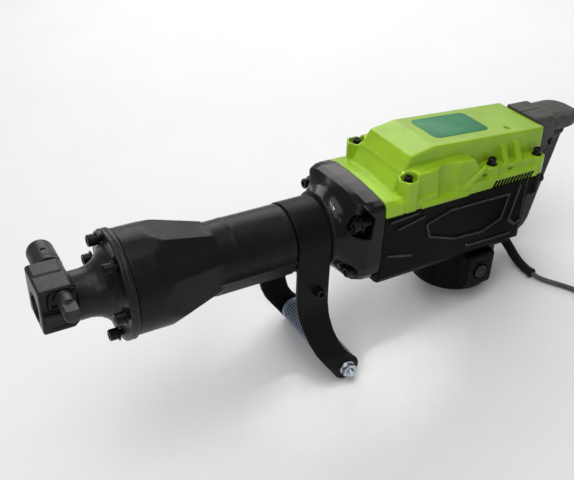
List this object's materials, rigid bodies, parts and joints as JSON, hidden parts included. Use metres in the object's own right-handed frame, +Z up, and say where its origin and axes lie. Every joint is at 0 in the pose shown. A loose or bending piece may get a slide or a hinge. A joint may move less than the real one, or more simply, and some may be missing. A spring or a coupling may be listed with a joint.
{
  "type": "electric demolition hammer",
  "caption": "Electric demolition hammer lying on its side handle: black castings, lime gear cover, grey rear D-handle, side grip and coiled mains lead.",
  "frame": {"origin": "on the floor, under the middle of the tool's box without its mains lead", "axes": "+X along the tool from the nose to the rear handle, tipped 12 degrees nose up; -Y towards the retainer lever's side; +Z up from the surface it stands on"},
  "size_m": [0.7672, 0.3212, 0.3113],
  "materials": {
    "black_casting": "satin black paint on an aluminium casting",
    "strap_black": "black enamel on bent steel plate",
    "lime_cover": "satin lime green paint on an aluminium casting",
    "name_plate_teal": "glossy printed label, left plain",
    "handle_grey": "fine-grained moulded plastic",
    "black_plastic": "moulded plastic",
    "screw_black": "black oxide steel",
    "bare_steel": "ground steel, oiled",
    "plate_aluminium": "machined casting",
    "motor_copper": "laminated steel with lacquered copper windings",
    "carbon_brush": "pressed carbon",
    "zinc_steel": "bright zinc plate",
    "grip_rubber": "ribbed blue-grey rubber",
    "black_rubber": "grey-black cable rubber"
  },
  "bodies": {
    "root": {"front_cover": "black_casting", "flange_bolt_1": "screw_black", "flange_bolt_2": "screw_black", "flange_bolt_3": "screw_black", "flange_bolt_4": "screw_black", "flange_bolt_5": "screw_black", "flange_bolt_6": "screw_black", "cylinder_case": "black_casting", "case_bolt_1": "screw_black", "case_bolt_2": "screw_black", "case_bolt_3": "screw_black", "case_bolt_4": "screw_black", "damper_ring": "black_rubber", "cylinder_sleeve": "bare_steel", "crank_bearing": "bare_steel", "rotor_upper_bearing": "bare_steel", "rotor_lower_bearing": "bare_steel", "stator": "motor_copper", "carbon_brush_left": "carbon_brush", "brush_cap_left": "black_plastic", "carbon_brush_right": "carbon_brush", "brush_cap_right": "black_plastic", "crankcase": "black_casting", "bearing_plate": "plate_aluminium", "motor_housing": "black_casting", "gear_cover": "lime_cover", "name_plate": "name_plate_teal", "cover_bolt_left_1": "screw_black", "cover_bolt_right_1": "screw_black", "cover_bolt_left_2": "screw_black", "cover_bolt_right_2": "screw_black", "cover_bolt_left_3": "screw_black", "cover_bolt_right_3": "screw_black", "handle_left": "handle_grey", "handle_right": "handle_grey", "handle_cap": "handle_grey", "switch_body": "black_plastic", "strain_relief": "black_rubber", "cord": "black_rubber", "cord_coil": "black_rubber", "plug": "black_rubber"},
    "retainer": {"retainer_pin": "screw_black", "retainer_roll_pin": "bare_steel"},
    "side_handle": {"side_handle_strap": "strap_black", "clamp_screw": "screw_black", "side_grip": "grip_rubber", "grip_bolt": "zinc_steel", "grip_nut": "zinc_steel"},
    "trigger_lever": {"trigger": "black_plastic"},
    "lock_knob": {"lock_button": "black_plastic"},
    "crank": {"crankshaft": "bare_steel", "crank_gear": "bare_steel"},
    "intermediate_gear": {"countershaft": "bare_steel"},
    "rotor": {"armature": "motor_copper", "cooling_fan": "black_plastic"},
    "piston_assembly": {"piston": "bare_steel", "piston_pin": "bare_steel"},
    "rod": {"connecting_rod": "bare_steel"},
    "striker_body": {"striker": "bare_steel"},
    "hammer_body": {"second_hammer": "bare_steel"}
  },
  "joints": [
    {"name": "retainer_turn", "type": "hinge", "parent": "root", "child": "retainer", "pos_m": [-0.3492, 0.00385, 0.28239], "axis": [0, 1, 0], "range_deg": [0, 180]},
    {"name": "side_handle_swing", "type": "hinge", "parent": "root", "child": "side_handle", "pos_m": [-0.06477, 0.00385, 0.1975], "axis": [0.9769, 0, -0.2135], "continuous": true},
    {"name": "trigger_pull", "type": "hinge", "parent": "root", "child": "trigger_lever", "pos_m": [0.3145, 0.00385, 0.14839], "axis": [0, -1, 0], "range_deg": [0, 6], "stiffness_Nm_per_rad": 1.5, "springref_deg": -4.01},
    {"name": "lock_press", "type": "slide", "parent": "root", "child": "lock_knob", "axis": [0, 1, 0], "range_m": [0, 0.003], "stiffness_N_per_m": 300, "springref_m": -0.003},
    {"name": "crank_spin", "type": "hinge", "parent": "root", "child": "crank", "pos_m": [0.10119, 0.00385, 0.1817], "axis": [0.2135, 0, 0.9769], "continuous": true},
    {"name": "intermediate_gear_spin", "type": "hinge", "parent": "root", "child": "intermediate_gear", "pos_m": [0.15449, 0.00385, 0.20076], "axis": [0.2135, 0, 0.9769], "continuous": true},
    {"name": "rotor_spin", "type": "hinge", "parent": "root", "child": "rotor", "pos_m": [0.18254, 0.00385, 0.11274], "axis": [0.2135, 0, 0.9769], "continuous": true},
    {"name": "piston_slide", "type": "slide", "parent": "root", "child": "piston_assembly", "axis": [0.9769, 0, -0.2135], "range_m": [0, 0.032]},
    {"name": "rod_swing", "type": "hinge", "parent": "piston_assembly", "child": "rod", "pos_m": [-0.01641, 0.00385, 0.18693], "axis": [0.2135, 0, 0.9769], "range_deg": [-9.2, 9.2]},
    {"name": "striker_slide", "type": "slide", "parent": "root", "child": "striker_body", "axis": [0.9769, 0, -0.2135], "range_m": [-0.016, 0.036]},
    {"name": "second_hammer_slide", "type": "slide", "parent": "root", "child": "hammer_body", "axis": [0.9769, 0, -0.2135], "range_m": [-0.001, 0.012]}
  ],
  "couplings": [
    {"joint": "intermediate_gear_spin", "follows": "crank_spin", "ratio": -3},
    {"joint": "rotor_spin", "follows": "crank_spin", "ratio": 15}
  ]
}
